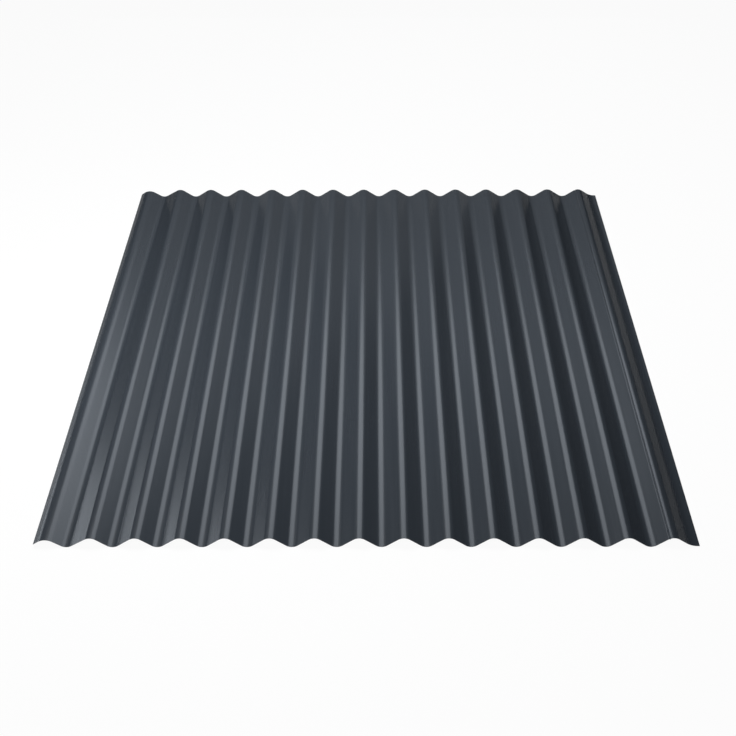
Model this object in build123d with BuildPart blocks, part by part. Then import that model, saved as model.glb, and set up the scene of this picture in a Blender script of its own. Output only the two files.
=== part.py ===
from build123d import *
import os
from dataclasses import dataclass
from math import acos, asin, atan2, cos, degrees, hypot, radians, sin, tan

# Corrugated roofing sheet: one sheet of thin steel, cold-rolled into round waves with straight flanks.
# X runs across the waves, Y along them and Z up. The origin is under the middle of the sheet, on the
# plane that the troughs rest on. All sizes are in millimetres, and radii and levels in the steel are
# taken to the middle of its thickness.

# The sheet and its waves
sheet_length = 1500.0
sheet_thickness = 0.5
crest_count = 15
wave_pitch = 76.0  # from one crest to the next
wave_height = 18.0  # from the underside of a trough to the top of a crest
flank_flat = 22.0  # straight stretch of a flank, between a crest's bend and a trough's

# Left edge: a flatter crest with a short lip, which lies over the last crest of the sheet beside it
lap_crest_height = 14.5  # from the resting plane to the top of the crest
lap_crest_radius = 24.0
lap_lip_reach = 20.5  # from the middle of the crest to the edge of the lip
lap_trough_shift = 2.5  # from half way to the next crest, back to the middle of the first trough

# Right edge: the last flank runs out in a wide bend to a narrow level lip, which lies under the sheet beside it
under_lip_reach = 6.5  # from the place of one more trough's middle to the edge of the lip
under_lip_flat = 4.0  # level stretch along the edge
under_lip_height = 1.5  # from the resting plane to the underside of the lip

# Drain groove: rolled into the inner shoulder of the last crest, so that water can't creep through the lap
groove_inset = 0.75  # along the crest's bend, from the flank to the groove's outer lip
groove_depth = 1.0
groove_radius = 1.0
groove_lip_radius = 2.0

# Directions, in degrees from +X
up = 90
down = -up
full_turn = 360

# Sizes that follow from those above
half_pitch = wave_pitch / 2
sheet_width = lap_lip_reach + wave_pitch * (crest_count - 1) + half_pitch + under_lip_reach
half_thickness = sheet_thickness / 2
trough_level = half_thickness
crest_level = wave_height - half_thickness
lap_level = lap_crest_height - half_thickness
under_level = under_lip_height + half_thickness
wave_rise = crest_level - trough_level
bend_radius = (half_pitch**2 + wave_rise**2 - flank_flat**2) / (4 * wave_rise)
crest_places = [lap_lip_reach - sheet_width / 2 + wave_pitch * n for n in range(crest_count)]


@dataclass
class Bend:
    """An arc of the section. Its ends are directions from its centre, in degrees."""

    centre: tuple
    radius: float
    left: float
    right: float

    def radius_on(self, side):
        """Radius on the top of the sheet (side 1) or on its underside (side -1)."""
        round_on_top = self.left > self.right
        return self.radius + half_thickness * (side if round_on_top else -side)

    def left_end(self, side):
        return polar(self.centre, self.radius_on(side), self.left)

    def right_end(self, side):
        return polar(self.centre, self.radius_on(side), self.right)


def polar(centre, distance, direction):
    """The point at a distance and a direction, in degrees, from a centre."""
    angle = radians(direction)
    return (centre[0] + distance * cos(angle), centre[1] + distance * sin(angle))


def bearing(centre, point):
    """Direction from a centre to a point, in degrees from 0 to 360."""
    return degrees(atan2(point[1] - centre[1], point[0] - centre[0])) % full_turn


def flank_slope(run, rise, crest_radius):
    """Slope, in degrees, of the flank that joins a crest's bend to the bend of a trough one run away."""
    radii = crest_radius + bend_radius
    centre_rise = radii - rise
    return degrees(asin(radii / hypot(run, centre_rise)) - atan2(centre_rise, run))


def crest_bend(x, level, radius, left_slope, right_slope):
    return Bend((x, level - radius), radius, up + left_slope, up - right_slope)


def trough_bend(x, level, radius, left_slope, right_slope):
    return Bend((x, level + radius), radius, down - left_slope, down + right_slope)


def grooved_crest(x, slope):
    """The touching bends of a crest that has the drain groove on its left shoulder."""
    crest = crest_bend(x, crest_level, bend_radius, slope, slope)

    # Two round lips roll off the crest's bend into the groove between them
    to_lip = bend_radius - groove_lip_radius
    to_groove = bend_radius + groove_radius - groove_depth
    lip_to_groove = groove_radius + groove_lip_radius
    spread = degrees(acos((to_lip**2 + to_groove**2 - lip_to_groove**2) / (2 * to_lip * to_groove)))
    left_way = crest.left - degrees(groove_inset / bend_radius)
    groove_way = left_way - spread
    right_way = groove_way - spread
    groove_centre = polar(crest.centre, to_groove, groove_way)
    left_lip = polar(crest.centre, to_lip, left_way)
    right_lip = polar(crest.centre, to_lip, right_way)

    groove_start = bearing(groove_centre, left_lip)
    groove_turn = (bearing(groove_centre, right_lip) - groove_start) % full_turn
    return [
        Bend(crest.centre, bend_radius, crest.left, left_way),
        Bend(left_lip, groove_lip_radius, left_way, bearing(left_lip, groove_centre)),
        Bend(groove_centre, groove_radius, groove_start, groove_start + groove_turn),
        Bend(right_lip, groove_lip_radius, bearing(right_lip, groove_centre), right_way),
        Bend(crest.centre, bend_radius, right_way, crest.right),
    ]


# The bends from left to right, in runs: the bends of a run touch, and straight flanks join the runs
wave_slope = flank_slope(half_pitch, wave_rise, bend_radius)
lap_slope = flank_slope(half_pitch - lap_trough_shift, lap_level - trough_level, lap_crest_radius)
first_slope = flank_slope(half_pitch + lap_trough_shift, wave_rise, bend_radius)
first_trough = crest_places[0] + half_pitch - lap_trough_shift
runs = [
    [crest_bend(crest_places[0], lap_level, lap_crest_radius, wave_slope, lap_slope)],
    [trough_bend(first_trough, trough_level, bend_radius, lap_slope, first_slope)],
    [crest_bend(crest_places[1], crest_level, bend_radius, first_slope, wave_slope)],
]
for crest_x in crest_places[2:]:
    runs.append([trough_bend(crest_x - half_pitch, trough_level, bend_radius, wave_slope, wave_slope)])
    runs.append([crest_bend(crest_x, crest_level, bend_radius, wave_slope, wave_slope)])
runs[-1] = grooved_crest(crest_places[-1], wave_slope)

# Run straight on, the last flank would meet the lip's level at its foot. The lip's bend touches the flank and
# the level lip equally far from there
flank_drop = (crest_level + trough_level) / 2 - under_level
flank_foot = crest_places[-1] + half_pitch / 2 + flank_drop / tan(radians(wave_slope))
under_lip_start = sheet_width / 2 - under_lip_flat
under_lip_radius = (under_lip_start - flank_foot) / tan(radians(wave_slope / 2))
runs.append([trough_bend(under_lip_start, under_level, under_lip_radius, wave_slope, 0)])

# The lap lip runs on straight from its crest's bend, and its upper corner is the sheet's left edge
lap_bend_reach = (lap_crest_radius + half_thickness) * sin(radians(wave_slope))
lap_lip_run = (lap_lip_reach - lap_bend_reach) / cos(radians(wave_slope))


def draw_face(side):
    """Draws the top (side 1) or the underside (side -1) of the section, and returns its two ends."""
    lap_bend = runs[0][0]
    first_point = polar(lap_bend.left_end(side), lap_lip_run, lap_bend.left + up)
    last_point = first_point
    for run in runs:
        Line(last_point, run[0].left_end(side))
        for bend in run:
            CenterArc(
                bend.centre,
                bend.radius_on(side),
                min(bend.left, bend.right),
                abs(bend.left - bend.right),
            )
        last_point = run[-1].right_end(side)
    edge_point = (sheet_width / 2, last_point[1])
    Line(last_point, edge_point)
    return first_point, edge_point


with BuildPart() as corrugated_sheet:
    with BuildSketch(Plane.XZ):
        with BuildLine():
            top_left, top_right = draw_face(1)
            under_left, under_right = draw_face(-1)
            Line(top_left, under_left)
            Line(top_right, under_right)
        make_face()
    extrude(amount=sheet_length / 2, both=True)
corrugated_sheet.part.label = "corrugated_sheet"

os.makedirs("parts", exist_ok=True)
export_step(corrugated_sheet.part, "parts/corrugated_sheet.step")
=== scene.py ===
# %% [markdown]
# # A corrugated roofing sheet
#
# This lesson dresses one rolled steel roofing sheet for a studio picture. The sheet's solid comes from
# a imported frame, at its real size and in metres, and everything here is built around it. We load the
# frame first and keep its box, and print it, so that the rolled sheet's size can be set beside it.

from math import acos, asin, atan2, cos, degrees, hypot, pi, radians, sin, tan

import bmesh
import bpy
from mathutils import Matrix, Vector


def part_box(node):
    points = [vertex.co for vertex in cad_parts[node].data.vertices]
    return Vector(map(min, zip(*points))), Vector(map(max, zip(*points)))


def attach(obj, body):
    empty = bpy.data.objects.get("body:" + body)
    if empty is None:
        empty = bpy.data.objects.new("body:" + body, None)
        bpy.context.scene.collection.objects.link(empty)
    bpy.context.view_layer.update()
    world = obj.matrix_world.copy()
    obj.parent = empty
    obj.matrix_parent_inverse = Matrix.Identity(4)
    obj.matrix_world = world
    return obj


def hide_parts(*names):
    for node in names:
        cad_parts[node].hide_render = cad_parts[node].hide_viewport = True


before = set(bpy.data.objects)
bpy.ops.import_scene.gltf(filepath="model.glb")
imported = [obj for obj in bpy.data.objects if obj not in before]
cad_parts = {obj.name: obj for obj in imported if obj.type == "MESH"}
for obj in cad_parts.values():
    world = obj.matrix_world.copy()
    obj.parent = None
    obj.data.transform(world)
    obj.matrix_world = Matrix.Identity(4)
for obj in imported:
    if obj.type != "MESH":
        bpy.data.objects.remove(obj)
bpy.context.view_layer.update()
low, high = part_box("corrugated_sheet")
print("solid box in metres", [round(v, 4) for v in (*low, *high)])

# %% [markdown]
# ## The section
#
# A roll former bends flat strip into waves: every crest and trough is a round bend, and straight flanks
# join them. The first crest is lower and has a wider bend, because it lies over the next sheet, and the
# trough beside it stands a little nearer to it. We could trace the wave as a sine curve, but bends and
# flats are what the rolls really leave, and they catch the light in clean stripes. Sizes are in metres,
# heights are measured from the plane that the sheet rests on, and radii and levels are taken to the
# middle of the steel.

# %% Sizes of the section
steel = 0.0005  # thickness
crest_count = 15
pitch = 0.076  # from one crest to the next
flank_flat = 0.022  # straight stretch of a flank
lap_height = 0.0145  # to the top of the first crest
lap_radius = 0.024
lap_reach = 0.0205  # from the middle of the first crest to the left edge
lap_trough_shift = 0.0025  # how much nearer than half way the first trough is to the first crest
mm = 1000  # in a metre, for the sizes that are printed

half_steel = steel / 2
half_pitch = pitch / 2
crest_level = high.z - half_steel
trough_level = low.z + half_steel
lap_level = low.z + lap_height - half_steel
rise = crest_level - trough_level
bend_radius = (half_pitch**2 + rise**2 - flank_flat**2) / (4 * rise)
crests = [low.x + lap_reach + pitch * n for n in range(crest_count)]
print(f"bend radius {mm * bend_radius:.2f} mm, crests from {crests[0]:.3f} to {crests[-1]:.3f} m")

# %% [markdown]
# ## Bends as spins
#
# Each bend is a centre, a radius and two directions, its left end and its right end, in degrees from +X.
# A bend that is round on top turns clockwise as we go to the right, and a trough turns the other way.
# That is all the Spin operator needs to draw the bend exactly: it carries the last point of our line
# round the centre, in as many steps as we like. We draw the underside of the steel, so a crest is half a
# thickness tighter there, and a trough half a thickness wider.

# %% A bend of the section
quarter_turn = 90


def heading(angle):
    """The direction at an angle, in degrees, from +X towards +Z."""
    return Vector((cos(radians(angle)), 0, sin(radians(angle))))


class Bend:
    """An arc of the section, from its left end to its right end."""

    def __init__(self, centre, radius, left, right):
        self.centre = centre
        self.radius = radius
        self.left = left
        self.right = right

    def left_end(self):
        """Where the underside of the steel enters the bend."""
        to_underside = half_steel if self.left < self.right else -half_steel
        return self.centre + (self.radius + to_underside) * heading(self.left)

    def turn(self):
        """Turn about +Y from the left end to the right end, in degrees."""
        return self.left - self.right


print("a quarter turn from +X is", [round(v, 2) for v in heading(quarter_turn)])

# %% [markdown]
# ## Crests, troughs and flanks
#
# A crest or a trough is given by the place and level of its middle, its radius, and the slopes of the
# flanks at its two sides. A flank touches a crest's bend at one end and a trough's at the other, so it is
# the line that crosses between two circles. The sum of their radii and the distance of their centres give
# its angle to the line through the centres, and the slope of that line is taken off.


# %% Crests, troughs and flanks
def crest_bend(x, level, radius, left_slope, right_slope):
    """The bend at the top of a wave."""
    centre = Vector((x, low.y, level - radius))
    return Bend(centre, radius, quarter_turn + left_slope, quarter_turn - right_slope)


def trough_bend(x, level, radius, left_slope, right_slope):
    """The bend at the foot of a wave."""
    centre = Vector((x, low.y, level + radius))
    return Bend(centre, radius, -quarter_turn - left_slope, -quarter_turn + right_slope)


def slope_between(apart, drop, crest_radius):
    """Slope, in degrees, of the flank that joins a crest to a trough, whose middles are apart."""
    radii = crest_radius + bend_radius
    return degrees(asin(radii / hypot(apart, radii - drop)) - atan2(radii - drop, apart))


wave_slope = slope_between(half_pitch, rise, bend_radius)
lap_slope = slope_between(half_pitch - lap_trough_shift, lap_level - trough_level, lap_radius)
first_slope = slope_between(half_pitch + lap_trough_shift, rise, bend_radius)
print(f"flanks slope {wave_slope:.2f} degrees, {lap_slope:.2f} and {first_slope:.2f} by the first trough")

# %% [markdown]
# ## The drain groove
#
# The last crest carries a fine groove on its inner shoulder. On a roof it lies inside the side lap and
# stops water from creeping through. It could be painted on as a dark line, but only a real groove gives
# the thin bright edges beside it, so it gets three small bends of its own: a lip that rolls off the
# crest's bend, the groove, and a lip that rolls back onto the crest. The centres of the crest, a lip and
# the groove make a triangle of known sides, and its angle at the crest spreads the lips from the groove.

# %% The grooved crest
groove_inset = 0.00075  # along the crest's bend, from the flank to the first lip
groove_depth = 0.001
groove_radius = 0.001
groove_lip_radius = 0.002
full_turn = 360


def bearing(start, end):
    """The direction from one point to another, in degrees from 0 to 360."""
    return degrees(atan2(end.z - start.z, end.x - start.x)) % full_turn


def grooved_crest(x):
    """The touching bends of the last crest, with the groove on its left shoulder."""
    crest = crest_bend(x, crest_level, bend_radius, wave_slope, wave_slope)
    to_lip = bend_radius - groove_lip_radius
    to_groove = bend_radius + groove_radius - groove_depth
    lip_to_groove = groove_radius + groove_lip_radius
    spread = degrees(acos((to_lip**2 + to_groove**2 - lip_to_groove**2) / (2 * to_lip * to_groove)))
    left_way = crest.left - degrees(groove_inset / bend_radius)
    groove_way = left_way - spread
    right_way = groove_way - spread
    groove = crest.centre + to_groove * heading(groove_way)
    left_lip = crest.centre + to_lip * heading(left_way)
    right_lip = crest.centre + to_lip * heading(right_way)
    start = bearing(groove, left_lip)
    turn = (bearing(groove, right_lip) - start) % full_turn
    return [
        Bend(crest.centre, bend_radius, crest.left, left_way),
        Bend(left_lip, groove_lip_radius, left_way, bearing(left_lip, groove)),
        Bend(groove, groove_radius, start, start + turn),
        Bend(right_lip, groove_lip_radius, bearing(right_lip, groove), right_way),
        Bend(crest.centre, bend_radius, right_way, crest.right),
    ]


last_crest = grooved_crest(crests[-1])
print("the last crest turns by", [round(bend.turn(), 1) for bend in last_crest], "degrees")

# %% [markdown]
# ## All the bends, from left to right
#
# The bends are kept in runs: the bends of a run touch, and a straight flank joins one run to the next.
# The last flank runs out in a wide bend to a narrow level lip. Run straight on, the flank would meet the
# level of that lip at its foot. The wide bend touches the flank and the lip equally far from that foot,
# which gives its radius.

# %% The runs
lip_height = 0.0015  # to the underside of the right lip
lip_flat = 0.004  # level stretch along the right edge

first_trough = crests[0] + half_pitch - lap_trough_shift
runs = [
    [crest_bend(crests[0], lap_level, lap_radius, wave_slope, lap_slope)],
    [trough_bend(first_trough, trough_level, bend_radius, lap_slope, first_slope)],
    [crest_bend(crests[1], crest_level, bend_radius, first_slope, wave_slope)],
]
for x in crests[2:]:
    runs.append([trough_bend(x - half_pitch, trough_level, bend_radius, wave_slope, wave_slope)])
    runs.append([crest_bend(x, crest_level, bend_radius, wave_slope, wave_slope)])
runs[-1] = last_crest

lip_level = low.z + lip_height + half_steel
flank_drop = (crest_level + trough_level) / 2 - lip_level
flank_foot = crests[-1] + half_pitch / 2 + flank_drop / tan(radians(wave_slope))
lip_start = high.x - lip_flat
lip_radius = (lip_start - flank_foot) / tan(radians(wave_slope / 2))
runs.append([trough_bend(lip_start, lip_level, lip_radius, wave_slope, 0)])
print(f"{sum(len(run) for run in runs)} bends in {len(runs)} runs, lip bend {mm * lip_radius:.1f} mm")

# %% [markdown]
# ## Rolling the sheet
#
# Now the section is drawn as the rolls make it. One vertex starts at the left edge, is extruded along each
# flat and spun round each bend, until a single line crosses the whole sheet. A grid bent by a formula would
# be quicker to type, but it would spend as many faces on the flats as on the bends.

# %% Draw the section
step_angle = 4  # degrees of a bend for each step of its spin
fewest_steps = 6  # in any bend, however small


def run_flat(bm, tip, point):
    """Extrudes the line straight on to a point, and returns its new tip."""
    tip = bmesh.ops.extrude_vert_indiv(bm, verts=[tip])["verts"][0]
    tip.co = point
    return tip


def roll_bend(bm, tip, bend):
    """Spins the tip of the line round a bend, and returns its new tip."""
    steps = max(fewest_steps, round(abs(bend.turn()) / step_angle))
    spun = bmesh.ops.spin(
        bm, geom=[tip], cent=bend.centre, axis=(0, 1, 0), angle=radians(bend.turn()), steps=steps
    )
    return spun["geom_last"][0]


def draw_underside(bm):
    """Draws the underside of the section as one line, from the left edge to the right edge."""
    # The first lip runs straight on from its bend, until its upper corner is at the left edge
    lap_bend = runs[0][0]
    bend_reach = (lap_radius + half_steel) * sin(radians(wave_slope))
    lap_run = (lap_reach - bend_reach) / cos(radians(wave_slope))
    tip = bm.verts.new(lap_bend.left_end() + lap_run * heading(lap_bend.left + quarter_turn))
    for run in runs:
        tip = run_flat(bm, tip, run[0].left_end())
        for bend in run:
            tip = roll_bend(bm, tip, bend)
    run_flat(bm, tip, Vector((high.x, low.y, tip.co.z)))


sheet_shape = bmesh.new()
draw_underside(sheet_shape)
rolled_width = sum(edge.calc_length() for edge in sheet_shape.edges)
print(f"section line of {len(sheet_shape.edges)} edges, cut from strip {rolled_width:.3f} m wide")

# %% [markdown]
# ## Length and thickness
#
# The line is extruded to the sheet's full length and cut into rows, so that its faces aren't needlessly
# long and thin. Solidify then gives the steel its thickness upwards: it keeps the faces that it is given
# as one skin, and adds the other skin and the rim. We remember which faces were there first: they are the
# underside, the faces that touch it are the sheared edges, and all the rest is the top. A volume above
# zero shows that the faces point outwards.

# %% Give it length and thickness
row_length = 0.075
sharp_angle = radians(40)
top_coat, back_coat, cut_edge = range(3)


def extrude_length(bm):
    """Draws the line out along Y, and cuts the strips that it leaves into rows."""
    drawn = bmesh.ops.extrude_edge_only(bm, edges=bm.edges[:])["geom"]
    far_line = [part for part in drawn if isinstance(part, bmesh.types.BMVert)]
    bmesh.ops.translate(bm, verts=far_line, vec=(0, high.y - low.y, 0))
    lengthwise = [edge for edge in bm.edges if edge.verts[0].co.y != edge.verts[1].co.y]
    cuts = round((high.y - low.y) / row_length) - 1
    bmesh.ops.subdivide_edges(bm, edges=lengthwise, cuts=cuts, use_grid_fill=True)


def add_thickness(bm):
    """Adds the top and the rim, and gives each face the number of its finish."""
    under_faces = set(bm.faces)
    under_verts = set(bm.verts)
    bmesh.ops.solidify(bm, geom=bm.faces[:], thickness=steel)
    bm.normal_update()
    for face in bm.faces:
        face.smooth = True
        if face in under_faces:
            face.material_index = back_coat
        elif under_verts.isdisjoint(face.verts):
            face.material_index = top_coat
        else:
            face.material_index = cut_edge
    for edge in bm.edges:
        edge.smooth = edge.calc_face_angle() < sharp_angle


extrude_length(sheet_shape)
add_thickness(sheet_shape)
open_edges = [edge for edge in sheet_shape.edges if not edge.is_manifold]
volume = sheet_shape.calc_volume(signed=True)
print(f"{len(sheet_shape.faces)} faces, {len(open_edges)} open edges, {volume:.6f} cubic metres of steel")

# %% [markdown]
# ## The sheet takes its place
#
# The rolled mesh becomes one object at the origin, unturned and unscaled, because its place is already in
# its vertices. It stands for the plain solid of the frame and rides on the same body.

# %% Place the sheet
sheet_mesh = bpy.data.meshes.new("rolled_sheet")
sheet_shape.to_mesh(sheet_mesh)
sheet_shape.free()
sheet = bpy.data.objects.new("rolled_sheet", sheet_mesh)
bpy.context.scene.collection.objects.link(sheet)
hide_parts("corrugated_sheet")
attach(sheet, "root")
print("sheet spans", [round(size, 4) for size in sheet.dimensions])

# %% [markdown]
# ## Shader maths in plain Python
#
# Node trees get long when each link is written out. A wire is a small wrapper round a socket: adding,
# subtracting or multiplying wires adds a Math node, and one method makes any other node, its settings
# first and then the values or wires of its sockets.


# %% A wire
class Wire:
    """A socket in a node tree, or just the tree where a chain of nodes starts."""

    def __init__(self, tree, socket=None):
        self.tree = tree
        self.socket = socket

    def node(self, kind, settings=None, sockets=None, output=0):
        """Adds a node and returns the wire of one of its outputs."""
        added = self.tree.nodes.new(kind)
        for name, value in (settings or {}).items():
            setattr(added, name, value)
        for name, value in (sockets or {}).items():
            if isinstance(value, Wire):
                self.tree.links.new(value.socket, added.inputs[name])
            else:
                added.inputs[name].default_value = value
        return Wire(self.tree, added.outputs[output] if len(added.outputs) else None)

    def maths(self, operation, first, second):
        """Adds a Math node and returns its wire."""
        return self.node("ShaderNodeMath", {"operation": operation}, {0: first, 1: second})

    def __add__(self, other):
        return self.maths("ADD", self, other)

    def __radd__(self, other):
        return self.maths("ADD", other, self)

    def __sub__(self, other):
        return self.maths("SUBTRACT", self, other)

    def __rsub__(self, other):
        return self.maths("SUBTRACT", other, self)

    def __mul__(self, other):
        return self.maths("MULTIPLY", self, other)

    def __rmul__(self, other):
        return self.maths("MULTIPLY", other, self)


print("wires ready")

# %% [markdown]
# ## What the finishes share
#
# Every finish of the sheet starts from an empty node tree and ends in one Principled shader. Its pattern
# is noise on Object coordinates, which are in metres, so the scale of a noise is about its number of
# grains to a metre. The noise varies about a half, and we let a roughness vary about its own middle in
# the same way. Two colours are mixed by a Mix node, because a Math node would turn them grey.

# %% Helpers for the finishes
noise_middle = 0.5
mix_factor, mix_a, mix_b, mix_result = 0, 6, 7, 2  # sockets of a Mix node that mixes colours


def blank_material(name):
    """A material with an empty node tree, and the wire to start its nodes from."""
    material = bpy.data.materials.new(name)
    material.use_nodes = True
    material.node_tree.nodes.clear()
    return material, Wire(material.node_tree)


def grains(place, per_metre, detail):
    """Noise with about so many grains to a metre."""
    return place.node("ShaderNodeTexNoise", None, {"Vector": place, "Scale": per_metre, "Detail": detail})


def vary(middle, spread, noise):
    """A number that varies about its middle, as a noise does about a half."""
    return middle + spread * (noise - noise_middle)


def blend_colours(amount, first, second):
    """The first colour where the amount is 0, and the second where it is 1."""
    colours = {mix_factor: amount, mix_a: first, mix_b: second}
    return amount.node("ShaderNodeMix", {"data_type": "RGBA"}, colours, mix_result)


def finish_with(start, sockets):
    """Ends a finish in one Principled shader with these sockets."""
    shader = start.node("ShaderNodeBsdfPrincipled", None, sockets)
    start.node("ShaderNodeOutputMaterial", None, {"Surface": shader})


print("noise varies about", noise_middle)

# %% [markdown]
# ## The coloured coat
#
# The top is coil coated: a thin polyester paint, blue-grey and half gloss, put on while the strip was flat
# and then bent with it. Up close it has a fine orange peel, and the rolls leave faint lines along the
# waves. One noise, fine and even, is the peel, and a coarser one, drawn out along Y, is the rolling lines.
# The lines change the gloss more than the colour.

# %% Coloured coat
coat_dark = (0.0315, 0.0379, 0.0464, 1)
coat_light = (0.0375, 0.0451, 0.0552, 1)
coat_roughness = 0.24
coat_roughness_spread = 0.10
coat_ior = 1.5
coat_lines_per_metre = 260
line_stretch = 0.012  # scale along the waves, for lines that are long and thin
line_detail = 4
peel_per_metre = 700
peel_detail = 2
peel_height = 0.000006


def rolling_lines(place, per_metre):
    """Noise that is drawn out along the waves."""
    drawn_out = place.node(
        "ShaderNodeMapping", {"vector_type": "POINT"}, {"Vector": place, "Scale": (1, line_stretch, 1)}
    )
    return grains(drawn_out, per_metre, line_detail)


def coloured_coat():
    material, start = blank_material("coloured_coat")
    place = start.node("ShaderNodeTexCoord", output="Object")
    lines = rolling_lines(place, coat_lines_per_metre)
    peel = grains(place, peel_per_metre, peel_detail)
    sockets = {
        "Base Color": blend_colours(lines, coat_dark, coat_light),
        "Roughness": vary(coat_roughness, coat_roughness_spread, lines),
        "Normal": start.node("ShaderNodeBump", None, {"Height": peel, "Distance": peel_height}),
        "IOR": coat_ior,
    }
    finish_with(start, sockets)
    return material


sheet_mesh.materials.append(coloured_coat())
print("top:", sheet_mesh.materials[top_coat].name)

# %% [markdown]
# ## The back coat
#
# The underside gets only a thin service coat, light grey and matt, with a little of the primer showing
# through in soft patches. Nobody looks at it on a roof, but it lights the inside of the waves.

# %% Back coat
primer_grey = (0.30, 0.31, 0.31, 1)
service_grey = (0.38, 0.39, 0.39, 1)
back_roughness = 0.56
back_roughness_spread = 0.12
back_lines_per_metre = 180
patches_per_metre = 35
patch_detail = 5


def grey_back_coat():
    material, start = blank_material("back_coat")
    place = start.node("ShaderNodeTexCoord", output="Object")
    patches = grains(place, patches_per_metre, patch_detail)
    lines = rolling_lines(place, back_lines_per_metre)
    sockets = {
        "Base Color": blend_colours(patches, primer_grey, service_grey),
        "Roughness": vary(back_roughness, back_roughness_spread, lines),
    }
    finish_with(start, sockets)
    return material


sheet_mesh.materials.append(grey_back_coat())
print("underside:", sheet_mesh.materials[back_coat].name)

# %% [markdown]
# ## The sheared edges
#
# Where the shears cut, the coat is dragged over part of the edge, and the rest is bare steel with a film
# of zinc. The dark tone is partly that dragged coat and partly painted shade, so the edge reads as a thin
# dark line. The edge is only half a millimetre high, so two tones of dull metal are enough.

# %% Sheared edges
# The dark edge tone is partly coat dragged over the cut and partly painted shade.
dragged_coat_and_shade = (0.05, 0.053, 0.056, 1)
edge_bright = (0.20, 0.205, 0.21, 1)
edge_roughness = 0.5
edge_roughness_spread = 0.2
edge_metallic = 0.6
bites_per_metre = 900
bite_detail = 3


def sheared_edge():
    material, start = blank_material("sheared_edge")
    place = start.node("ShaderNodeTexCoord", output="Object")
    bites = grains(place, bites_per_metre, bite_detail)
    sockets = {
        # Blotches of dragged coat and painted shade against bare zinc.
        "Base Color": blend_colours(bites, dragged_coat_and_shade, edge_bright),
        "Roughness": vary(edge_roughness, edge_roughness_spread, bites),
        "Metallic": edge_metallic,
    }
    finish_with(start, sockets)
    return material


sheet_mesh.materials.append(sheared_edge())
print("rim:", sheet_mesh.materials[cut_edge].name)

# %% [markdown]
# ## A white floor
#
# The picture is a cut-out on white, so the floor is a wide pale disc. A backdrop that curves up would give
# the same white, but a disc so wide has no edge in sight. It lies a little below the sheet, because faces
# that share a plane come out in blotches.

# %% Floor
floor_radius = 60
floor_segments = 64
floor_drop = 0.0002


def pale_disc():
    bm = bmesh.new()
    bmesh.ops.create_circle(bm, cap_ends=True, segments=floor_segments, radius=floor_radius)
    bmesh.ops.translate(bm, verts=bm.verts[:], vec=(0, 0, low.z - floor_drop))
    mesh = bpy.data.meshes.new("floor")
    bm.to_mesh(mesh)
    bm.free()
    disc = bpy.data.objects.new("floor", mesh)
    bpy.context.scene.collection.objects.link(disc)
    return disc


floor = pale_disc()
print("floor normal", [round(v, 2) for v in floor.data.polygons[0].normal])

# %% [markdown]
# ## White without more light
#
# More light would turn the floor white, and bleach the sheet with it. Light Path instead lets camera,
# glossy and transmitted rays see most of the floor as pure white, and the rest stays a real diffuse
# surface, so that a little of the sheet's shadow is kept.

# %% Floor finish
floor_colour = (0.9, 0.9, 0.9, 1)
pure_white = (1, 1, 1, 1)
white_strength = 1
white_share = 0.95
shade_factor, shade_first, shade_second = range(3)  # sockets of a Mix Shader node


def white_floor():
    material, start = blank_material("white_floor")
    seen = start.node("ShaderNodeLightPath", output="Is Camera Ray")
    glossy = start.node("ShaderNodeLightPath", output="Is Glossy Ray")
    through = start.node("ShaderNodeLightPath", output="Is Transmission Ray")
    paper = start.node("ShaderNodeBsdfDiffuse", None, {"Color": floor_colour})
    white = start.node("ShaderNodeEmission", None, {"Color": pure_white, "Strength": white_strength})
    to_white = white_share * (seen + glossy + through)
    sockets = {shade_factor: to_white, shade_first: paper, shade_second: white}
    surface = start.node("ShaderNodeMixShader", None, sockets)
    start.node("ShaderNodeOutputMaterial", None, {"Surface": surface})
    return material


floor.data.materials.append(white_floor())
print("floor:", floor.data.materials[0].name)

# %% [markdown]
# ## Studio light
#
# Half-gloss paint is dark in itself, and shows what stands around it. A round light behind the sheet draws
# a bright stripe on every crest and in every trough. Towards the far end the stripes fade, because there
# the paint shows the dim card under that light. A low softbox, far back at the left, lights the flanks that
# face it, and a soft light above carries the plain light level. Weak boxes in front and at the right give
# the other sides a little gloss. One big sky would be simpler, but it would veil the dark flanks in grey.
# Each light faces the middle of the sheet, and is given by its place, its size and how bright its face is.

# %% Softboxes
centre = (low + high) / 2
daylight = (0.93, 1.0, 1.085)
neutral = (1, 1, 1)


def softbox(name, place, size, brightness, colour=daylight, shape="RECTANGLE"):
    """A light that the paint shows and the camera doesn't."""
    width, height = size
    face = width * height if shape == "RECTANGLE" else width * height * pi / 4
    light = bpy.data.lights.new(name, "AREA")
    light.shape = shape
    light.size = width
    light.size_y = height
    light.energy = brightness * pi * face
    light.color = colour
    box = bpy.data.objects.new(name, light)
    facing = (Vector(place) - centre).to_track_quat("Z", "Y")
    box.matrix_world = Matrix.Translation(place) @ facing.to_matrix().to_4x4()
    box.visible_camera = False
    bpy.context.scene.collection.objects.link(box)
    return box


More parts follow.
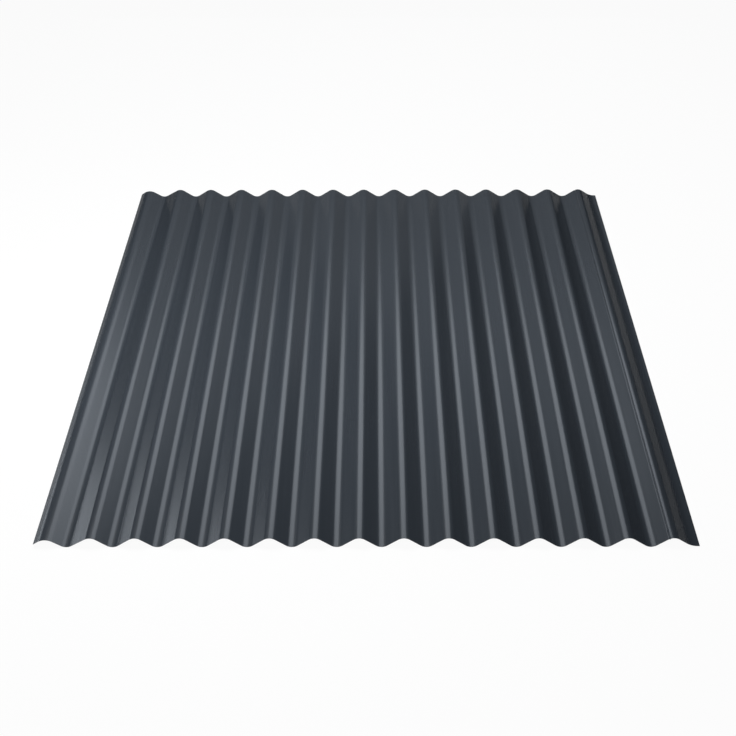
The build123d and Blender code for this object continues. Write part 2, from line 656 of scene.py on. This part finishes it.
softboxes = [
    softbox("back_light", place=(0.05, 1.65, 1.39), size=(1.42, 1.14), brightness=1.66, shape="ELLIPSE"),
    softbox("back_card", place=(0.01, 2.0, 0.68), size=(1.81, 1.46), brightness=0.15),
    softbox("left_box", place=(-3.87, 3.3, 1.08), size=(1.5, 0.8), brightness=2.3),
    softbox("top_light", place=(-0.5, -0.04, 1.4), size=(0.85, 0.85), brightness=13.2, colour=neutral),
    softbox("front_box", place=(0.3, -3.6, 2.1), size=(2.4, 1.0), brightness=1.5),
    softbox("right_box", place=(3.6, 0.3, 1.9), size=(2.0, 1.0), brightness=0.7),
]
print("softboxes:", [box.name for box in softboxes])

# %% [markdown]
# ## An almost black world
#
# The softboxes do nearly all the lighting. The world keeps only a trace of white, so that a bend that faces
# away from them all doesn't turn fully black.

# %% World
world_strength = 0.005

world = bpy.data.worlds.new("studio")
world.use_nodes = True
background = world.node_tree.nodes["Background"]
background.inputs["Color"].default_value = pure_white
background.inputs["Strength"].default_value = world_strength
bpy.context.scene.world = world
print("world strength", world_strength)

# %% [markdown]
# ## The camera
#
# The camera stands in front of the sheet and looks down on it through a long lens, so that the sheet's
# sides run together only gently. A new camera looks straight down, so it is tipped up, and turned a trace
# to the side and about its own line of sight.

# %% Camera
camera_place = Vector((0.0141, -3.0238, 1.6167))
camera_yaw = -0.254  # degrees clockwise from +Y, seen from above
camera_pitch = 29.174  # degrees below level
camera_roll = 0.183  # degrees clockwise, seen from behind the camera
camera_lens = 80.11  # millimetres
matrix_size = 4

camera_data = bpy.data.cameras.new("camera")
camera_data.lens = camera_lens
camera = bpy.data.objects.new("camera", camera_data)
camera.matrix_world = (
    Matrix.Translation(camera_place)
    @ Matrix.Rotation(radians(-camera_yaw), matrix_size, "Z")
    @ Matrix.Rotation(radians(quarter_turn - camera_pitch), matrix_size, "X")
    @ Matrix.Rotation(radians(-camera_roll), matrix_size, "Z")
)
bpy.context.scene.collection.objects.link(camera)
bpy.context.scene.camera = camera
bpy.context.scene.view_settings.view_transform = "Standard"
print("camera", round((camera_place - centre).length, 3), "m from the middle of the sheet")
